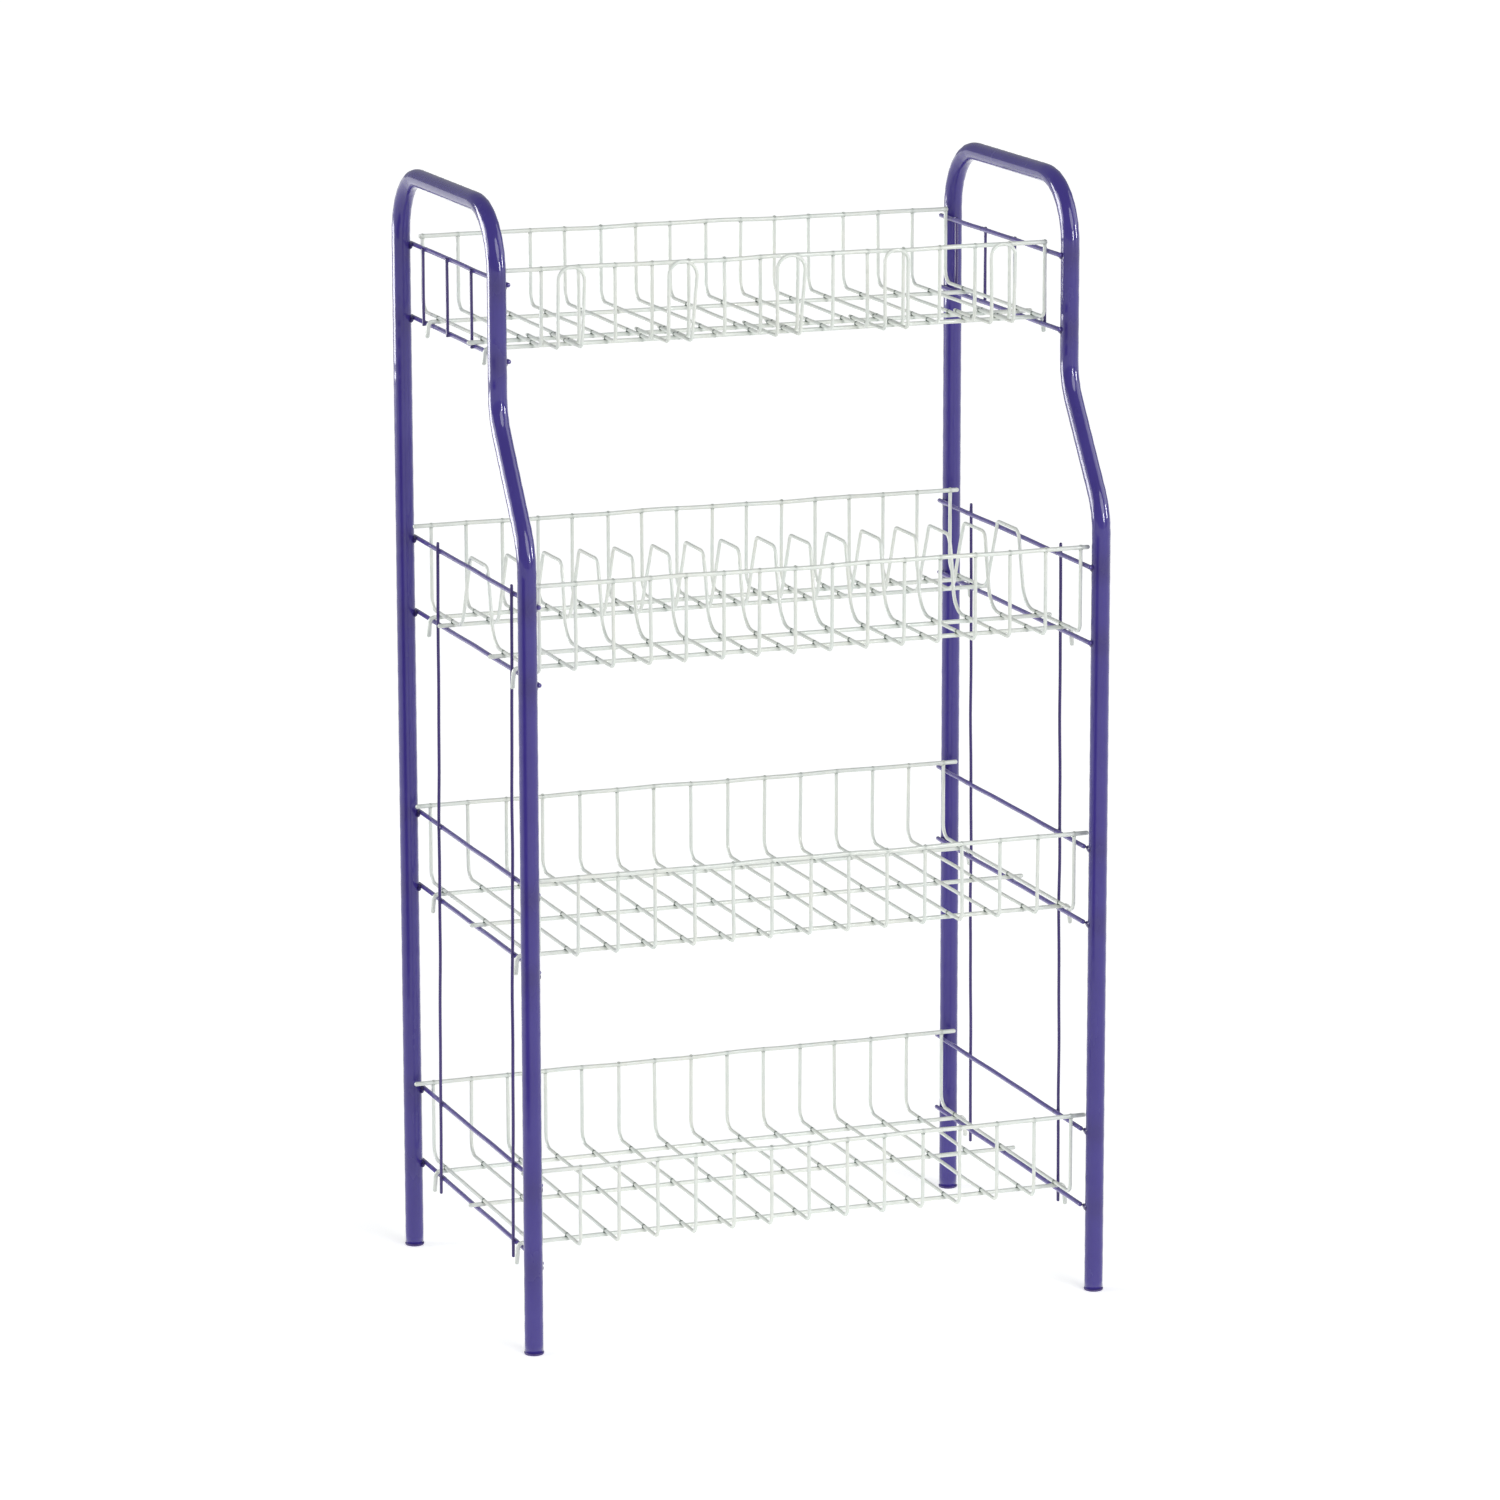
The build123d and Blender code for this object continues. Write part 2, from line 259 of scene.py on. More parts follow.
# mesh helpers
wireLook = {
    "around": 12,         # faces round a wire
    "step": 0.010,        # longest face along a straight run
    "arcStep": 9.0,       # degrees of bend for each face
    "weldRings": (-3.2, -2, -1.2, -0.6, 0, 0.6, 1.2, 2, 3.2),     # millimetres from a weld
    "closest": 0.15 * mm,     # rings stand no closer than this
    "swell": 0.07,        # how much the coating thickens at a weld
    "swellReach": 1.5 * mm,
    "weldShading": 0.0011,      # reach of the painted shade beside a weld
    "waves": ((41, 1), (97, 0.6)),        # pitch and share of the two waves in a drawn wire
    "lump": 0.012,
    "lumpPitch": 640,
    "fullBend": 0.12,     # how far the heading swings from run to run inside a bend
    "endRows": ((1.0, 1.0), (0.55, 0.9), (0.2, 0.62), (0.0, 0.28)),       # depth and width, in radii
    "endDepth": 0.8,
    "endShade": 0.25,
}


def bentLine(corners, radii):
    # a line of points through the corners, with an arc of its own radius at each inner one
    points = [Vector(corners[0])]
    for before, corner, after, radius in zip(corners, corners[1:], corners[2:], radii):
        corner = Vector(corner)
        back = (Vector(before) - corner).normalized()
        ahead = (Vector(after) - corner).normalized()
        turn = math.pi - back.angle(ahead)
        centre = corner + (back + ahead).normalized() * (radius / math.cos(turn / 2))
        first = corner + back * (radius * math.tan(turn / 2)) - centre
        axis = back.cross(ahead).normalized()
        count = max(2, math.ceil(math.degrees(turn) / wireLook["arcStep"]))
        for index in range(count + 1):
            points.append(centre + Matrix.Rotation(-turn * index / count, 3, axis) @ first)
    points.append(Vector(corners[-1]))
    return points


def stations(line, welds, step):
    # lengths along the line where a ring of points goes: closer together beside the welds
    lengths = [0.0]
    for a, b in zip(line, line[1:]):
        lengths.append(lengths[-1] + (b - a).length)
    wanted = set(lengths)
    for start, end in zip(lengths, lengths[1:]):
        count = max(1, math.ceil((end - start) / step))
        wanted.update(start + (end - start) * index / count for index in range(count))
    near = []
    for weld in welds:
        best = min(range(len(line) - 1), key=lambda i: apart(weld, line[i], line[i + 1])[0])
        near.append(lengths[best] + apart(weld, line[best], line[best + 1])[1])
    for spot in near:
        wanted.update(spot + offset * mm for offset in wireLook["weldRings"])
    kept = []
    for length in sorted(w for w in wanted if 0 <= w <= lengths[-1]):
        if not kept or length - kept[-1] > wireLook["closest"]:
            kept.append(length)
    kept[-1] = lengths[-1]
    return lengths, kept, near


def apart(point, a, b):
    # distance from a point to a run, and how far along the run the nearest place is
    run = b - a
    along = min(max((point - a).dot(run) / run.length_squared, 0), 1)
    return (a + run * along - point).length, along * run.length


# a web is the small lump of weld and coating that fills the corners where two wires cross; its dark colour is
# painted shade in those corners
webLook = {"around": 10, "rows": 5, "roughness": 0.12}


class Wires:
    # gathers bent wires and weld webs into one mesh
    def __init__(self, seed):
        self.corners = []
        self.faces = []
        self.shades = []
        self.random = random.Random(seed)
        self.inward = Vector((0, 0, 1))

    def add(
        self, corners, radii, radius, welds=(), wave=0.0, waveAxis=None, hollow=False,
        flatten=0.0, around=wireLook["around"], longest=wireLook["step"],
    ):
        line = bentLine(corners, radii)
        lengths, places, near = stations(line, [Vector(w) for w in welds], longest)
        phases = [self.random.uniform(0, math.tau) for _ in range(4)]
        total = lengths[-1]
        firstRing = len(self.corners)
        side = None
        rings = 0
        for place in places:
            index = min(max(bisect.bisect_right(lengths, place) - 1, 0), len(line) - 2)
            share = (place - lengths[index]) / max(lengths[index + 1] - lengths[index], 1e-9)
            point = line[index].lerp(line[index + 1], share)
            heading = self.heading(line, index, share)
            if side is None:
                side = heading.orthogonal().normalized()
            side = (side - heading * side.dot(heading)).normalized()
            other = heading.cross(side)
            if wave:
                swing = sum(
                    size * math.sin(place * pitch + phase)
                    for (pitch, size), phase in zip(wireLook["waves"], phases)
                )
                fade = math.sin(math.pi * place / total)
                point = point + waveAxis * (wave * swing * fade)
            # painted shade beside each weld, kept with the points for the finish to darken them
            weld, weldShading = (
                max([math.exp(-((place - spot) / reach) ** 2) for spot in near], default=0.0)
                for reach in (wireLook["swellReach"], wireLook["weldShading"])
            )
            ripple = math.sin(place * wireLook["lumpPitch"] + phases[2])
            lump = 1 + wireLook["swell"] * weld + wireLook["lump"] * ripple
            bend = self.bending(line, index) * flatten
            rows = ((point, lump, weldShading),)
            if not hollow and place in (places[0], places[-1]):
                first = place == places[0]
                rows = self.roundedEnd(point, -heading if first else heading, radius, lump, first)
            for centre, size, shade in rows:
                for step in range(around):
                    angle = math.tau * step / around
                    out = side * math.cos(angle) + other * math.sin(angle)
                    squeeze = 1 - bend * abs(out.dot(self.inward)) if bend else 1
                    self.corners.append(centre + out * (radius * size * squeeze))
                    self.shades.append(shade)
                rings += 1
        self.joinRings(firstRing, rings, around)
        if not hollow:
            self.closeRing(firstRing, around, flip=True)
            self.closeRing(firstRing + (rings - 1) * around, around)

    def joinRings(self, first, rings, around, flip=False):
        # faces between rings of points that were added one after another
        for ring in range(rings - 1):
            start = first + ring * around
            for step in range(around):
                after = (step + 1) % around
                face = (start + step, start + after, start + around + after, start + around + step)
                self.faces.append((face[0], face[3], face[2], face[1]) if flip else face)

    def closeRing(self, start, around, flip=False):
        ring = range(start, start + around)
        self.faces.append(tuple(reversed(ring) if flip else ring))

    def heading(self, line, index, share):
        # direction along the line, turning evenly from run to run
        here = (line[index + 1] - line[index]).normalized()
        if share < 0.02 and index > 0:
            here = here + (line[index] - line[index - 1]).normalized()
        if share > 0.98 and index < len(line) - 2:
            here = here + (line[index + 2] - line[index + 1]).normalized()
        return here.normalized()

    def bending(self, line, index):
        # 1 inside a bend and 0 on a straight run; it also keeps which way the bend turns
        lowest = max(index - 1, 0)
        here = (line[index + 1] - line[index]).normalized()
        before = (line[lowest + 1] - line[lowest]).normalized()
        turn = here - before
        self.inward = turn.normalized() if turn.length > 1e-4 else Vector((0, 0, 1))
        return min(turn.length / wireLook["fullBend"], 1)

    def roundedEnd(self, point, outward, radius, lump, first):
        # the coating rounds off a wire's cut end, just inside its length
        rows = []
        for depth, width in wireLook["endRows"]:
            centre = point - outward * (radius * depth * wireLook["endDepth"])
            rows.append((centre, width * lump, wireLook["endShade"]))
        return rows[::-1] if first else rows

    def web(self, centre, size, shade=1.0):
        first = len(self.corners)
        rows = webLook["rows"]
        around = webLook["around"]
        for row in range(1, rows):
            tilt = math.pi * row / rows
            flat = math.sin(tilt)
            for step in range(around):
                angle = math.tau * step / around
                ball = Vector((flat * math.cos(angle), flat * math.sin(angle), math.cos(tilt)))
                bumpy = 1 + webLook["roughness"] * self.random.uniform(-1, 1)
                self.corners.append(Vector(centre) + Vector(a * b for a, b in zip(ball, size)) * bumpy)
                self.shades.append(shade)
        self.joinRings(first, rows - 1, around, flip=True)
        self.closeRing(first, around)
        self.closeRing(first + (rows - 2) * around, around, flip=True)

    def piece(self, name, node, body, finish):
        mesh = bpy.data.meshes.new(name)
        mesh.from_pydata([tuple(c) for c in self.corners], [], self.faces)
        mesh.update()
        mesh.polygons.foreach_set("use_smooth", [True] * len(mesh.polygons))
        weldShading = mesh.attributes.new("paintedWeldShade", "FLOAT", "POINT")
        weldShading.data.foreach_set("value", self.shades)
        mesh.materials.append(finishes[finish])
        made = putInScene(name, mesh)
        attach(made, body)
        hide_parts(node)
        return made


def putInScene(name, data):
    made = bpy.data.objects.new(name, data)
    bpy.context.scene.collection.objects.link(made)
    return made


def joinLoosePoints(made):
    # joins points that lie together and gives every face its outward side
    shape = bmesh.new()
    shape.from_mesh(made.data)
    bmesh.ops.remove_doubles(shape, verts=shape.verts, dist=1e-6)
    bmesh.ops.recalc_face_normals(shape, faces=shape.faces)
    shape.to_mesh(made.data)
    shape.free()


# side tubes
sideTube = {
    "handleBend": 0.043,
    "kinkBend": 0.045,
    "upperKink": 0.615,       # height where the upper front leg starts to slant forward
    "lowerKink": 0.5365,      # height where the slant meets the lower front leg
    "upperLegY": -0.075,
    "flatten": 0.035,         # how much a bend presses the tube flat
    "around": 40,
    "step": 0.006,
    "wall": 0.001,
    "lipDepth": 6 * mm,       # how far the inner wall shows at an open end
    # lipShade is painted shade on the inner wall inside each open end
    "lipShade": 0.6,
    "weldShade": 0.7,         # soft painted shade round each weld, where a cross wire meets the tube
    "weldReach": 9 * mm,
}


def makeSideTube(side):
    low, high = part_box(f"{side}_side_tube")
    radius = (high.x - low.x) / 2
    x = (low.x + high.x) / 2
    backY = high.y - radius
    frontY = low.y + radius
    topZ = high.z - radius
    route = [
        (x, backY, low.z), (x, backY, topZ), (x, sideTube["upperLegY"], topZ),
        (x, sideTube["upperLegY"], sideTube["upperKink"]),
        (x, frontY, sideTube["lowerKink"]), (x, frontY, low.z),
    ]
    bends = [sideTube["handleBend"]] * 2 + [sideTube["kinkBend"]] * 2
    welds = []
    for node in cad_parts:
        if node.startswith(side) and node.endswith(("lower_wire", "upper_wire")):
            wireLow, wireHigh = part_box(node)
            height = (wireLow.z + wireHigh.z) / 2
            welds += [Vector((x, backY, height)), Vector((x, wireLow.y, height))]
    tube = Wires(seed=11)
    around = sideTube["around"]
    tube.add(
        route, bends, radius, hollow=True, flatten=sideTube["flatten"],
        around=around, longest=sideTube["step"],
    )
    # the turned-in lip and the inner wall at both open ends
    inner = (radius - sideTube["wall"]) / radius
    for ringStart, way in ((0, 1), (len(tube.corners) - around, -1)):
        ring = tube.corners[ringStart:ringStart + around]
        centre = sum(ring, Vector()) / around
        last = ringStart
        for shrink, rise in ((inner, 0.0), (inner, sideTube["lipDepth"])):
            start = len(tube.corners)
            tube.corners += [centre + (c - centre) * shrink + Vector((0, 0, rise)) for c in ring]
            tube.shades += [sideTube["lipShade"]] * around
            for index in range(around):
                after = (index + 1) % around
                face = (last + index, start + index, start + after, last + after)
                tube.faces.append(face if way > 0 else face[::-1])
            last = start
    # painted shade on the tube round each weld
    for index, corner in enumerate(tube.corners):
        nearest = min((corner - weld).length for weld in welds)
        dark = sideTube["weldShade"] * math.exp(-(nearest / sideTube["weldReach"]) ** 2)
        tube.shades[index] = max(tube.shades[index], dark)
    return tube.piece(f"side_tube_{side}", f"{side}_side_tube", "frame", "tube")


for side in sides:
    makeSideTube(side)
print("side tubes made")

# foot plugs
footPlug = {"around": 40, "lift": 1.6 * mm, "partingLine": 0.00012}


def makeFootPlug(side, end):
    node = f"{side}_{end}_foot_plug"
    low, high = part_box(node)
    centre = middle(low, high)
    flange = (high.x - low.x) / 2
    lift = footPlug["lift"]
    # share of the flange's radius and height, from the middle of the sole round to the top of the stem
    profile = [
        (0.0, 0.0006), (0.35, 0.0004), (0.62, 0.0), (0.86, 0.0), (0.95, 0.00022), (0.99, 0.0006),
        (1.0, 0.001), (1.0 - footPlug["partingLine"] / flange, 0.00115), (1.0, 0.0013), (0.985, 0.00155),
        (0.95, lift), (0.80, lift), (0.80, high.z - 0.001), (0.74, high.z), (0.0, high.z),
    ]
    plug = Wires(seed=3)
    around = footPlug["around"]
    for share, z in profile:
        for step in range(around):
            angle = math.tau * step / around
            x = centre.x + flange * share * math.cos(angle)
            y = centre.y + flange * share * math.sin(angle)
            plug.corners.append(Vector((x, y, z)))
            plug.shades.append(0.0)
    plug.joinRings(0, len(profile), around, flip=True)
    made = plug.piece(f"foot_plug_{side}_{end}", node, "frame", "plastic")
    joinLoosePoints(made)
    return made


for side in sides:
    for end in ("back", "front"):
        makeFootPlug(side, end)
print("foot plugs made")

# cross wires, tie wires and end panel bars
frameWire = {
    "wave": 0.00016,
    "tieWave": 0.0006,
    "barWave": 0.0003,
    "lean": {"left": 1, "right": -1},     # 1 where a tie wire's foot is further back than its top
    "web": (1.0 * mm, 1.9 * mm, 1.5 * mm),
    "webReach": 0.95,                     # how far out on the wire its webs sit, in radii
    "webShade": 0.7,
    # how much short of their full length the wires stop at the front, under their welds
    "frontTrim": {
        "cup_rack": 0.0028,
        "plate_rack": 0.0028,
        "middle_basket": 0.0066,
        "bottom_basket": 0.0058,
    },
}


def sideCrossings(side, wireTier):
    # Y of what stands against a cross wire
    nodes = [f"{side}_end_panel_bars"] if wireTier == "cup_rack" else []
    return [middle(*box).y for node in nodes for box in strands(node, 1)]


def tiePoint(side, end, height):
    low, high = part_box(f"{side}_{end}_tie_wire")
    radius = (high.x - low.x) / 2
    footY, topY = (high.y - radius, low.y + radius)
    if frameWire["lean"][side] < 0:
        footY, topY = topY, footY
    share = (height - low.z) / (high.z - low.z)
    return Vector(((low.x + high.x) / 2, footY + (topY - footY) * share, height))


for side, sign in sides.items():
    for tierName in tierNames:
        for level in ("lower", "upper"):
            node = f"{side}_{tierName}_{level}_wire"
            low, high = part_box(node)
            centre = middle(low, high)
            radius = (high.x - low.x) / 2
            touching = [Vector((centre.x, y, centre.z)) for y in sideCrossings(side, tierName)]
            if tierName != "cup_rack":
                touching += [tiePoint(side, end, centre.z) for end in ("back", "front")]
            wire = Wires(seed=len(node) * 7)
            front = low.y + frameWire["frontTrim"][tierName]
            route = [(centre.x, high.y, centre.z), (centre.x, front, centre.z)]
            wire.add(route, [], radius, welds=touching, wave=frameWire["wave"], waveAxis=Vector((0, 0, 1)))
            for touch in touching:
                spot = Vector((centre.x + sign * radius * frameWire["webReach"], touch.y, centre.z))
                wire.web(spot, frameWire["web"], shade=frameWire["webShade"])
            wire.piece(f"cross_wire_{side}_{tierName}_{level}", node, "frame", "cross")
    for end in ("back", "front"):
        node = f"{side}_{end}_tie_wire"
        low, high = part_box(node)
        radius = (high.x - low.x) / 2
        tie = Wires(seed=31 + len(node) + sign)
        heights = [
            middle(*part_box(f"{side}_{tierName}_{level}_wire")).z
            for tierName in tierNames[1:] for level in ("lower", "upper")
        ]
        tie.add(
            [tiePoint(side, end, low.z), tiePoint(side, end, high.z)], [], radius,
            welds=[tiePoint(side, end, height) for height in heights],
            wave=frameWire["tieWave"], waveAxis=Vector((0, 1, 0)),
        )
        tie.piece(f"tie_wire_{side}_{end}", node, "frame", "tie")
    node = f"{side}_end_panel_bars"
    bars = Wires(seed=5 + sign)
    for low, high in strands(node, 1):
        centre = middle(low, high)
        ends = [middle(*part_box(f"{side}_cup_rack_{level}_wire")).z for level in ("lower", "upper")]
        touching = [Vector((centre.x, centre.y, height)) for height in ends]
        bars.add(
            [(centre.x, centre.y, low.z), (centre.x, centre.y, high.z)], [], (high.x - low.x) / 2,
            welds=touching, wave=frameWire["barWave"], waveAxis=Vector((0, 1, 0)),
        )
    bars.piece(f"end_panel_bars_{side}", node, "frame", "tie")
print("frame wires made")

# weld fillets between the cross wires and the legs
fillet = {
    "ripple": 0.0015,
    "rippleDepth": 0.03,
    "rows": 22,
    "around": 14,
    "sag": 0.35,
    "outerShare": 0.25,       # how much of a fillet lies past the middle of its leg
    "inset": 0.0008,          # how far it is sunk against the tube
    "width": 0.7,
    "height": 0.85,
    "taper": 1.6,
    "uneven": 0.02,
    "shade": 0.9,
    "splitY": 0.05,           # between the welds on the back leg and on the front leg
}


def addFillet(weld, low, high, sign, rng):
    # a rippled bead along the wire, heavier below it, where it runs out against the tube
    centre = middle(low, high)
    half = (high.y - low.y) / 2
    thick = (high.z - low.z) / 2
    first = len(weld.corners)
    for row in range(fillet["rows"] + 1):
        along = -1 + 2 * row / fillet["rows"]
        body = math.sqrt(max(1 - abs(along) ** fillet["taper"], 0.0))
        outside = along * (1 if centre.y > 0 else -1) > 0
        reach = half * (fillet["outerShare"] if outside else 1)
        ripple = 1 + fillet["rippleDepth"] * math.sin(math.tau * along * reach / fillet["ripple"])
        for step in range(fillet["around"]):
            angle = math.tau * step / fillet["around"]
            down = max(-math.sin(angle), 0)
            rough = ripple + rng.uniform(-fillet["uneven"], fillet["uneven"])
            size = thick * body * rough * (1 + fillet["sag"] * down ** 2)
            across = sign * (size * fillet["width"] * math.cos(angle) + fillet["inset"])
            rise = size * fillet["height"] * math.sin(angle)
            weld.corners.append(centre + Vector((across, along * reach, rise)))
            weld.shades.append(fillet["shade"])
    weld.joinRings(first, fillet["rows"] + 1, fillet["around"])


for side, sign in sides.items():
    node = f"{side}_weld_beads"
    weld = Wires(seed=17)
    rng = random.Random(40 + sign)
    for rowLow, rowHigh in strands(node, 2):
        inRow = [
            v.co.copy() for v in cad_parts[node].data.vertices if rowLow.z - mm < v.co.z < rowHigh.z + mm
        ]
        atBack = [c for c in inRow if c.y > fillet["splitY"]]
        atFront = [c for c in inRow if c.y <= fillet["splitY"]]
        for chosen in (atBack, atFront):
            low = Vector(map(min, zip(*chosen)))
            high = Vector(map(max, zip(*chosen)))
            addFillet(weld, low, high, sign, rng)
    joinLoosePoints(weld.piece(f"weld_fillets_{side}", node, "frame", "tie"))
print("weld fillets made")

# baskets
basket = {
    "backBend": 0.009,
    "frontBend": 0.0055,
    "hookBend": 0.003,
    "hookLean": 0.0012,       # the hand-bent hook tips lean outward
    "scatter": 0.0005,        # ribs stand this far off an even spacing
    "tilt": 0.0005,
    "nub": 0.0019,            # rib ends above the middle of the rim
    "rimWave": 0.00035,
    "ribWave": 0.00025,
    "web": (1.25 * mm, 1.35 * mm, 0.6 * mm),      # where a rib crosses a floor wire
    "webSide": 0.7 * mm,
    "webSink": 0.1 * mm,
    "rimWeb": (1.45 * mm, 1.3 * mm, 0.8 * mm),
    "rimWebDrop": 0.95,       # how far under the middle of the rim, in radii
    "rimWebShade": 0.75,
    "rimShade": 0.25,
    "floorShade": 0.35,
}

# the humps in the plate rack's ribs that part the plates, back to front
hump = {
    "height": 0.0509,
    "legY": (0.040, -0.0276),
    "topY": (0.0204, -0.0161),
    "bends": (0.013, 0.004, 0.007, 0.018),
    "sway": 0.0006,           # how far a hand-set hump's top leans to the side
    "drop": 0.0006,
}


def floorWires(tierName):
    # boxes of the wires under the ribs, back to front
    names = [f"{tierName}_back_hook_wire"]
    names += sorted(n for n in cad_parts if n.startswith(f"{tierName}_floor_wire"))
    return names + [f"{tierName}_front_hook_wire"]


def crossingZ(wireName):
    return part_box(wireName)[1].z


def makeBasket(tierName, seed):
    rng = random.Random(seed)
    rims = {end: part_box(f"{tierName}_{end}_rim") for end in ("back", "front")}
    rimRadius = (rims["back"][1].z - rims["back"][0].z) / 2
    rimZ = middle(*rims["back"]).z
    ribBoxes = strands(f"{tierName}_ribs", 0)
    ribRadius = (ribBoxes[0][1].x - ribBoxes[0][0].x) / 2
    ribZ = ribBoxes[0][0].z + ribRadius
    backY = middle(*rims["back"]).y
    frontY = middle(*rims["front"]).y
    wires = floorWires(tierName)
    wireY = {name: middle(*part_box(name)).y for name in wires}

    ribs = Wires(seed)
    ribX = []
    for number, (low, high) in enumerate(ribBoxes):
        inner = 0 < number < len(ribBoxes) - 1
        x = (low.x + high.x) / 2 + (rng.uniform(-1, 1) * basket["scatter"] if inner else 0)
        tilts = [rng.uniform(-1, 1) * basket["tilt"] if inner else 0 for _ in range(2)]
        ribX.append(x)
        top = rimZ + basket["nub"]
        welds = [Vector((x, wireY[name], ribZ)) for name in wires]
        welds += [Vector((x + tilts[0], backY, rimZ)), Vector((x + tilts[1], frontY, rimZ))]
        route = [(x + tilts[0], backY, top), (x, backY, ribZ), (x, frontY, ribZ), (x + tilts[1], frontY, top)]
        bends = [basket["backBend"], basket["frontBend"]]
        if tierName == "plate_rack":
            sway = rng.uniform(-0.5, 1) * hump["sway"] if inner else 0
            humpZ = ribZ + hump["height"] - rng.uniform(0, 1) * hump["drop"]
            route[2:2] = [
                (x, hump["legY"][0], ribZ), (x + sway, hump["topY"][0], humpZ),
                (x + sway, hump["topY"][1], humpZ), (x, hump["legY"][1], ribZ),
            ]
            bends[1:1] = hump["bends"]
        ribs.add(
            route, bends, ribRadius, welds=welds,
            wave=basket["ribWave"] if inner else 0.0, waveAxis=Vector((1, 0, 0)),
        )
        for name in wires:
            # each web sits a little to the -X side of its crossing and carries painted shade
            ribs.web((x - basket["webSide"], wireY[name], crossingZ(name) - basket["webSink"]), basket["web"])
        for tilt, y in zip(tilts, (backY, frontY)):
            spot = (x + tilt, y, rimZ - rimRadius * basket["rimWebDrop"])
            ribs.web(spot, basket["rimWeb"], shade=basket["rimWebShade"])
    ribs.piece(f"ribs_{tierName}", f"{tierName}_ribs", tierName, "coating")

    for end, (low, high) in rims.items():
        y = (low.y + high.y) / 2
        rim = Wires(seed + len(end))
        rim.add(
            [(low.x, y, rimZ), (high.x, y, rimZ)], [], rimRadius,
            welds=[Vector((x, y, rimZ)) for x in ribX], wave=basket["rimWave"], waveAxis=Vector((0, 0, 1)),
        )
        rim.shades = [shade * basket["rimShade"] for shade in rim.shades]
        rim.piece(f"rim_{tierName}_{end}", f"{tierName}_{end}_rim", tierName, "coating")

    for name in wires:
        low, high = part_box(name)
        y = wireY[name]
        wire = Wires(seed + len(name))
        if "hook" in name:
            radius = (high.y - low.y) / 2
            z = high.z - radius
            hookX = high.x - radius
            lean = basket["hookLean"]
            route = [(-hookX - lean, y, low.z), (-hookX, y, z), (hookX, y, z), (hookX + lean, y, low.z)]
            bends = [basket["hookBend"]] * 2
        else:
            radius = (high.z - low.z) / 2
            z = middle(low, high).z
            route = [(low.x, y, z), (high.x, y, z)]
            bends = []
        wire.add(route, bends, radius, welds=[Vector((x, y, z)) for x in ribX])
        wire.shades = [shade * basket["floorShade"] for shade in wire.shades]
        wire.piece(f"{name}_coated", name, tierName, "coating")


for number, tierName in enumerate(tierNames):
    makeBasket(tierName, 100 + 17 * number)
print("baskets made")

# cup loops
cupLoop = {
    "radius": 1.2 * mm,
    "footBend": 0.004,
    "cornerShare": 0.47,      # of the loop's width, for the bends at its top
    "between": 0.02,          # loops stand further apart than this
    "ribGap": 1.0 * mm,       # from a loop to the rib beside its right foot
    "wave": 0.0002,
    "web": (1.4 * mm, 1.55 * mm, 0.62 * mm),
    "webSink": 0.1 * mm,
    "webShade": 0.95,
}


def makeCupLoops():
    loops = Wires(seed=71)
    wires = floorWires("cup_rack")
    for low, high in strands("cup_loops", 0, cupLoop["between"]):
        radius = cupLoop["radius"]
        left = low.x + radius
        y = low.y + radius
        footZ = low.z + radius
        topZ = high.z - radius
        beside = high.x + cupLoop["ribGap"]
        rib = min(strands("cup_rack_ribs", 0), key=lambda box: abs(box[0].x - beside))
        rightFoot = middle(*rib).x - (rib[1].x - rib[0].x) / 2 - radius
        rightTop = max(high.x - radius, rightFoot)
        corner = cupLoop["cornerShare"] * (rightTop - left)
        route = [
            (left, high.y, footZ), (left, y, footZ), (left, y, topZ),
            (rightTop, y, topZ), (rightFoot, y, footZ), (rightFoot, high.y, footZ),
        ]
        welds = [Vector((x, middle(*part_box(name)).y, footZ)) for x in (left, rightFoot) for name in wires[1:]]
        loops.add(
            route, [cupLoop["footBend"], corner, corner, cupLoop["footBend"]], radius, welds=welds,
            wave=cupLoop["wave"], waveAxis=Vector((1, 0, 0)),
        )
        for weld, name in zip(welds, wires[1:] * 2):
            spot = (weld.x, weld.y, crossingZ(name) - cupLoop["webSink"])
            loops.web(spot, cupLoop["web"], shade=cupLoop["webShade"])
    loops.piece("cup_loops_coated", "cup_loops", "cup_rack", "coating")


makeCupLoops()
print("cup loops made")

# floor, lights and camera
studio = {
    "floorSize": 800.0,
    "floorColour": (0.90, 0.905, 0.90),
    "floorGlow": 0.52,            # a lit table under a white sheet
    "sky": (0.97, 0.985, 1.0),
    "skyStrength": 0.34,
    # strength, degrees across for soft shadows, and where from
    "suns": {"key": (1.15, 34.0, (0.75, -2.6, 1.7)), "leftFill": (0.85, 30.0, (-2.7, 0.75, 0.9))},
}


def makeFloor():
    half = studio["floorSize"] / 2
    mesh = bpy.data.meshes.new("floor")
    corners = [(-half, -half, 0), (half, -half, 0), (half, half, 0), (-half, half, 0)]
    mesh.from_pydata(corners, [], [(0, 1, 2, 3)])
    finish = Finish("paleFloor")
    mesh.materials.append(finish.surface(
        Base_Color=(*studio["floorColour"], 1), Roughness=0.9,
        Emission_Color=(1, 1, 1, 1), Emission_Strength=studio["floorGlow"],
    ))
    floor = putInScene("floor", mesh)


def aim(thing, start, target):
    thing.location = start
    thing.rotation_euler = (Vector(target) - Vector(start)).to_track_quat("-Z", "Y").to_euler()


def makeSuns():
    for name, (strength, width, start) in studio["suns"].items():
        light = bpy.data.lights.new(name, "SUN")
        light.energy = strength
        light.angle = math.radians(width)
        aim(putInScene(name, light), start, (0, 0, 0))


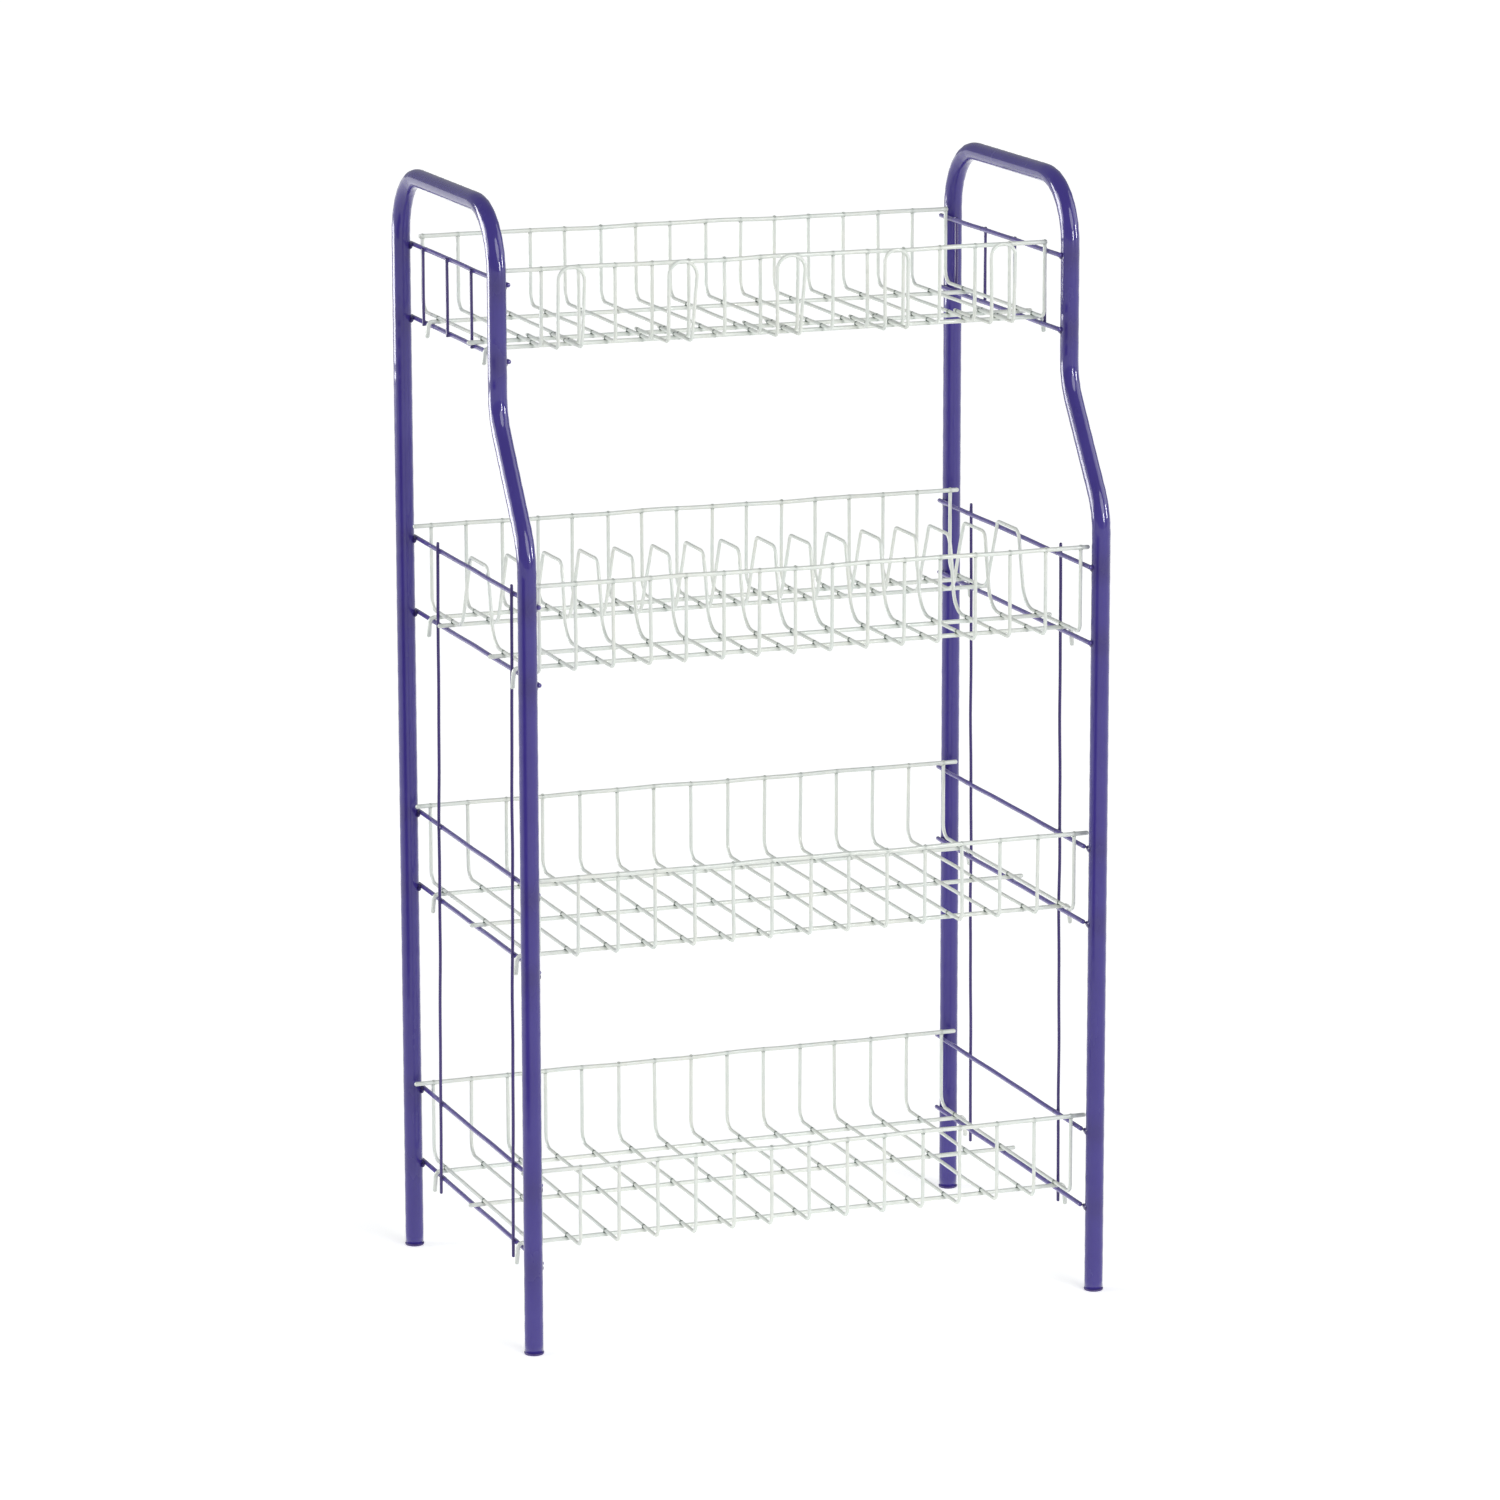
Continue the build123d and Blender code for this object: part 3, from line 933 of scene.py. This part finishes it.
# azimuth from the camera round to the right in degrees, distance, width, lowest and highest edge, and power
strips = {
    "nearStrip": (42, 2.2, 0.26, 0.75, 1.25, 14),
    "sideStrip": (84, 2.2, 0.26, 0.75, 1.25, 14),
    "leftBox": (-103, 2.2, 1.1, 0.30, 1.6, 54),
    "rightBox": (98, 2.7, 2.2, 1.0, 3.2, 30),
}
shotFrom = {
    "place": (-1.4477, -3.9126, 1.2899),
    "target": (0.0007, 0.0, 0.36355),
    "lens": 151.97,
    "roll": -0.1,
}
facing = math.atan2(shotFrom["place"][1], shotFrom["place"][0])


def makeStrips():
    for name, (azimuth, distance, width, bottom, top, power) in strips.items():
        light = bpy.data.lights.new(name, "AREA")
        light.shape = "RECTANGLE"
        light.size = width
        light.size_y = top - bottom
        light.energy = power
        strip = putInScene(name, light)
        angle = facing + math.radians(azimuth)
        height = (top + bottom) / 2
        aim(strip, (distance * math.cos(angle), distance * math.sin(angle), height), (0, 0, height))
        strip.visible_diffuse = False     # it brightens reflections and adds no diffuse light


# a dark sheet on the floor that the camera doesn't see: the enamel mirrors it as a soft dark band
sheet = {"from": -10, "to": -68, "near": 0.72, "far": 4.2, "columns": 16, "height": 0.003, "fade": 1.25}


def makeSheet():
    corners = []
    shades = []
    faces = []
    for column in range(sheet["columns"] + 1):
        share = column / sheet["columns"]
        angle = facing + math.radians(sheet["from"] + (sheet["to"] - sheet["from"]) * share)
        for distance, dark in ((sheet["near"], 0), (sheet["near"] * sheet["fade"], 1), (sheet["far"], 1)):
            corners.append((distance * math.cos(angle), distance * math.sin(angle), sheet["height"]))
            shades.append(dark * math.sin(math.pi * share) ** 1.5)
    for column in range(sheet["columns"]):
        for row in range(2):
            start = column * 3 + row
            faces.append((start, start + 3, start + 4, start + 1))
    mesh = bpy.data.meshes.new("darkSheet")
    mesh.from_pydata(corners, [], faces)
    mesh.attributes.new("solid", "FLOAT", "POINT").data.foreach_set("value", shades)
    finish = Finish("darkSheet")
    mesh.materials.append(finish.surface(
        Base_Color=(0.03, 0.03, 0.035, 1), Roughness=0.9, Alpha=finish.painted("solid"),
    ))
    made = putInScene("darkSheet", mesh)
    made.visible_camera = False


def makeCamera():
    camera = putInScene("camera", bpy.data.cameras.new("camera"))
    camera.data.lens = shotFrom["lens"]
    camera.data.sensor_width = 36
    camera.data.clip_end = 200
    aim(camera, shotFrom["place"], shotFrom["target"])
    camera.rotation_euler.rotate_axis("Z", math.radians(shotFrom["roll"]))
    bpy.context.scene.camera = camera


def makeSky():
    world = bpy.data.worlds.new("softRoom")
    world.use_nodes = True
    backdrop = world.node_tree.nodes["Background"]
    backdrop.inputs["Color"].default_value = (*studio["sky"], 1)
    backdrop.inputs["Strength"].default_value = studio["skyStrength"]
    bpy.context.scene.world = world
    bpy.context.scene.view_settings.view_transform = "Standard"


makeFloor()
makeSky()
makeSuns()
makeStrips()
makeSheet()
makeCamera()
print("floor, lights and camera made")
